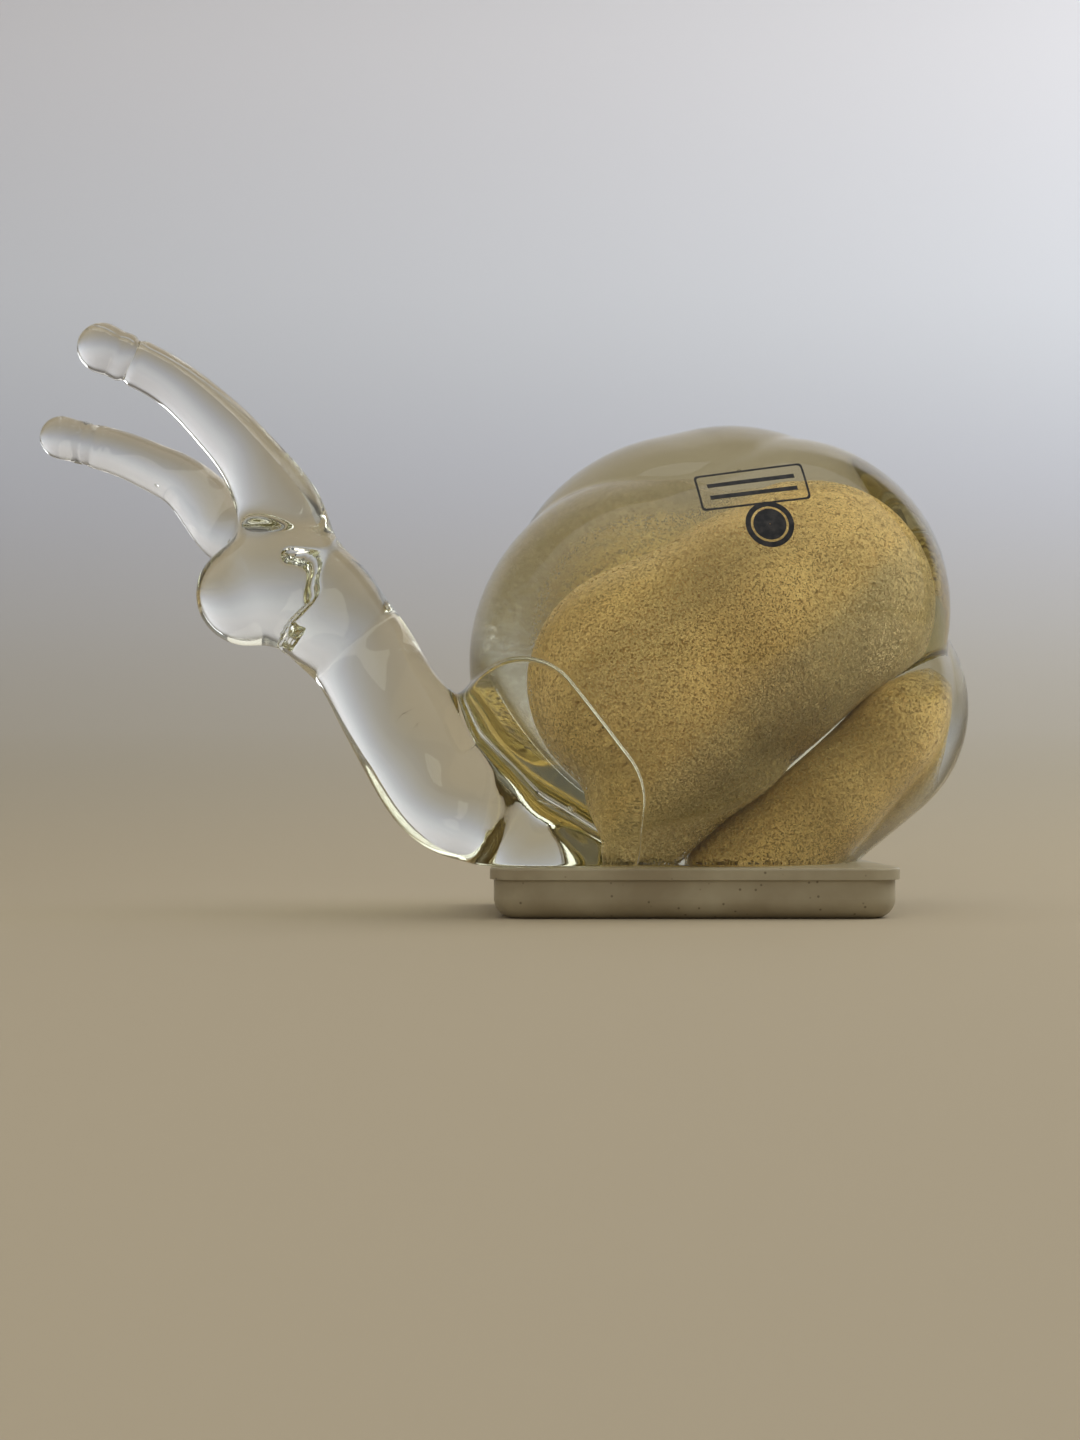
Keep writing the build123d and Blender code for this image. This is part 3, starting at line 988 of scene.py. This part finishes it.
def paper_material():
    """Matt paper, warm where it lies flat and cooler up the rise, with painted shade low on the
    rise, painted light paler towards the top, and painted shade darker at the sides.
    """
    mat, tree, output = new_material("paper_look")
    split = add_node(tree, "ShaderNodeSeparateXYZ", {0: object_place(tree)})
    highest = PAPER_TONES_AND_PAINTED_LIGHT[-1][0]
    height = add_range(tree, split.outputs["Z"], 0.0, highest)
    stops = [(level / highest, colour) for level, colour in PAPER_TONES_AND_PAINTED_LIGHT]
    # Colour by height: the paper's tone, with painted shade low on the rise and painted light
    # higher up
    tone_and_painted_light = add_ramp(tree, height, stops, interpolation="B_SPLINE")
    # Painted shade: the paper darkens towards the sides
    aside = add_node(tree, "ShaderNodeMath", {0: split.outputs["X"]}, operation="ABSOLUTE")
    edge = add_range(tree, aside.outputs[0], *PAPER_PAINTED_SHADE_EDGE, interpolation="SMOOTHSTEP")
    sockets = {
        "Base Color": multiplied(tree, edge, tone_and_painted_light, (0.48, 0.45, 0.38, 1.0)),
        "Roughness": 0.85,
        "Specular IOR Level": 0.2,
    }
    sheet = add_node(tree, "ShaderNodeBsdfPrincipled", sockets)
    tree.links.new(sheet.outputs[0], output.inputs["Surface"])
    return mat


def gold_piece(turn, layer, rows, grow, seed, cover, crackled):
    """One layer of a gold core, as a mesh piece in the shell."""

    def shape(points):
        return gold_rope(points, rows, grow)

    name = f"{turn}_gold_{layer}"
    piece = surface(name, shape, GOLD_BOX, GOLD_PITCH, divide=0)
    piece.data.materials.append(gold_material(name + "_look", seed, cover, crackled))
    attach(piece, "snail")
    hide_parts(turn + "_whorl_gold")


def ink_band(name, rings):
    """Closed bands of ink between pairs of flat lines, as one mesh piece on the glass."""
    points, faces = [], []
    for outer, inner, looped in rings:
        count = len(outer)
        base = len(points)
        for lift in (INK_GAP, INK_THICKNESS):
            for line in (outer, inner):
                points += (drape(line, lift) * METRES).tolist()
        low_out, low_in, top_out, top_in = (base + count * i for i in range(4))
        for i in range(count if looped else count - 1):
            j = (i + 1) % count
            faces.append((top_out + i, top_out + j, top_in + j, top_in + i))
            faces.append((low_out + i, low_in + i, low_in + j, low_out + j))
            faces.append((top_out + i, low_out + i, low_out + j, top_out + j))
            faces.append((top_in + j, low_in + j, low_in + i, top_in + i))
        if not looped:
            for i in (0, count - 1):
                face = (top_out + i, top_in + i, low_in + i, low_out + i)
                faces.append(face if i == 0 else face[::-1])
    return mesh_object(name, points, faces)


def turned_flat(points, middle, angle):
    """Flat points turned by an angle and moved to a middle."""
    return [
        (
            middle[0] + x * math.cos(angle) - z * math.sin(angle),
            middle[2] + x * math.sin(angle) + z * math.cos(angle),
        )
        for x, z in points
    ]


def rounded_outline(length, width, corner):
    """Points round a rectangle with rounded corners."""
    points = []
    for sign_x, sign_z, start in ((1, 1, 0), (-1, 1, 90), (-1, -1, 180), (1, -1, 270)):
        for i in range(CORNER_STEPS + 1):
            angle = math.radians(start + 90 * i / CORNER_STEPS)
            points.append(
                (
                    sign_x * (length / 2 - corner) + corner * math.cos(angle),
                    sign_z * (width / 2 - corner) + corner * math.sin(angle),
                )
            )
    full = []
    for begin, finish in zip(points, points[1:] + points[:1]):
        parts = max(1, int(math.dist(begin, finish) / OUTLINE_STEP))
        for i in range(parts):
            share = i / parts
            full.append(
                (
                    begin[0] + (finish[0] - begin[0]) * share,
                    begin[1] + (finish[1] - begin[1]) * share,
                )
            )
    return full


def circle_outline(radius):
    turns = [2 * math.pi * i / SPOT_POINTS for i in range(SPOT_POINTS)]
    return [(radius * math.cos(turn), radius * math.sin(turn)) for turn in turns]


def film_rings():
    """A plain frame with two plain rules in it."""
    outer = rounded_outline(FILM_LENGTH, FILM_WIDTH, FILM_CORNER)
    shrink_x = 1 - 2 * INK_WIDTH / FILM_LENGTH
    shrink_z = 1 - 2 * INK_WIDTH / FILM_WIDTH
    pairs = [(outer, [(x * shrink_x, z * shrink_z) for x, z in outer], True)]
    along = np.linspace(-RULE_REACH, RULE_REACH, RULE_POINTS)
    for level in RULE_LEVELS:
        lower = [(x, level - RULE_HALF_WIDTH) for x in along]
        upper = [(x, level + RULE_HALF_WIDTH) for x in along]
        pairs.append((lower, upper, False))
    return [
        (
            turned_flat(one, FILM_MIDDLE, FILM_TURN),
            turned_flat(other, FILM_MIDDLE, FILM_TURN),
            looped,
        )
        for one, other, looped in pairs
    ]


def spot_rings():
    """A plain disc in a plain ring."""
    return [
        (
            turned_flat(circle_outline(SPOT_RADIUS * outer), SPOT_MIDDLE, 0.0),
            turned_flat(circle_outline(SPOT_RADIUS * inner), SPOT_MIDDLE, 0.0),
            True,
        )
        for outer, inner in SPOT_RINGS
    ]


def paper_sweep():
    """One sheet of paper that lies in front of the object and sweeps up behind it."""
    rows = [(y, 0.0) for y in SWEEP_FRONT]
    for i in range(SWEEP_STEPS + 1):
        angle = math.radians(90.0 * i / SWEEP_STEPS)
        rise = SWEEP_RADIUS * (1 - math.cos(angle))
        rows.append((SWEEP_START + SWEEP_RADIUS * math.sin(angle), rise))
    rows.append((SWEEP_START + SWEEP_RADIUS, SWEEP_TOP))
    points = [(x, y, z) for y, z in rows for x in (-SWEEP_HALF_WIDTH, SWEEP_HALF_WIDTH)]
    faces = [(2 * i, 2 * i + 1, 2 * i + 3, 2 * i + 2) for i in range(len(rows) - 1)]
    return mesh_object("paper_sweep", points, faces, smooth=True)


def soft_light(name, place, aim, size, power, colour):
    """A large square lamp aimed at a point, which shows in no reflection."""
    lamp = bpy.data.lights.new(name, "AREA")
    lamp.shape = "RECTANGLE"
    lamp.size, lamp.size_y = size
    lamp.energy = power
    lamp.color = colour
    obj = bpy.data.objects.new(name, lamp)
    obj.location = place
    toward = Vector(aim) - Vector(place)
    obj.rotation_euler = toward.to_track_quat("-Z", "Y").to_euler()
    obj.visible_glossy = False
    bpy.context.scene.collection.objects.link(obj)


def room_light():
    """Light from all round: bright above, brown below and darker behind the camera."""
    world = bpy.data.worlds.new("studio")
    world.use_nodes = True
    tree = world.node_tree
    way = add_node(tree, "ShaderNodeTexCoord").outputs["Generated"]
    parts = add_node(tree, "ShaderNodeSeparateXYZ", {0: way})
    height = add_range(tree, parts.outputs["Z"], -1.0, 1.0)
    stops = ((0.30, (0.20, 0.17, 0.11)), (0.85, (0.80, 0.82, 0.86)))
    background = tree.nodes["Background"]
    tree.links.new(add_ramp(tree, height, stops), background.inputs["Color"])
    limits = (*ROOM_TURN, *ROOM_STRENGTH)
    strength = add_range(tree, parts.outputs["Y"], *limits, interpolation="SMOOTHSTEP")
    tree.links.new(strength, background.inputs["Strength"])
    bpy.context.scene.world = world


# Glass
hollows = [
    bubble(drape([(x, z)], -depth)[0], np.array(reach), math.radians(lean))
    for x, z, depth, reach, lean in BUBBLES
]
glass_body = surface(
    "clear_glass_body",
    clear_body,
    GLASS_BOX,
    GLASS_PITCH,
    turns=GLASS_TURNS,
    hollows=hollows,
)
glass_body.data.materials.append(clear_glass_material())
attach(glass_body, "snail")
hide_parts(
    "foot",
    "neck",
    "head",
    "tentacle_near",
    "tentacle_far",
    "first_whorl_glass",
    "second_whorl_glass",
)

# Gold cores: see-through dust over a full core
gold_piece("first", "dust", FIRST_GOLD, 0.0, 1.0, DUST_COVER, True)
gold_piece("first", "core", FIRST_GOLD, -CORE_DEPTH, 1.5, None, True)
gold_piece("second", "dust", SECOND_GOLD, 0.0, 2.0, DUST_COVER, False)
gold_piece("second", "core", SECOND_GOLD, -CORE_DEPTH, 2.5, None, False)

# Stand
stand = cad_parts["stand"]
stand.data.materials.clear()
stand.data.materials.append(stand_material())

# Labels: not seen through or in the glass, only straight on
label_frame = ink_band("label_frame", film_rings())
label_seal = ink_band("label_seal", spot_rings())
label_ink = ink_material()
for label in (label_frame, label_seal):
    label.data.materials.append(label_ink)
    label.visible_transmission = False
    label.visible_glossy = False
    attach(label, "snail")
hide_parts("label_film")
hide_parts("label_spot")

# Floor and backdrop
sweep = paper_sweep()
sweep.data.materials.append(paper_material())

# Light
for lamp in LAMPS:
    soft_light(*lamp)
room_light()

# Camera
camera_data = bpy.data.cameras.new("camera")
camera_data.lens = CAMERA_LENS
camera_data.sensor_width = CAMERA_SENSOR
camera_data.clip_start = CAMERA_NEAREST
camera = bpy.data.objects.new("camera", camera_data)
camera.location = CAMERA_PLACE
camera.rotation_euler = (math.radians(90.0 + CAMERA_RISE), 0.0, 0.0)
bpy.context.scene.collection.objects.link(camera)
bpy.context.scene.camera = camera

bpy.context.scene.view_settings.view_transform = "Standard"
tracer = bpy.context.scene.cycles
tracer.max_bounces = GLASS_BOUNCES
tracer.transmission_bounces = GLASS_BOUNCES
tracer.glossy_bounces = GLASS_BOUNCES
tracer.transparent_max_bounces = SEE_THROUGH_BOUNCES
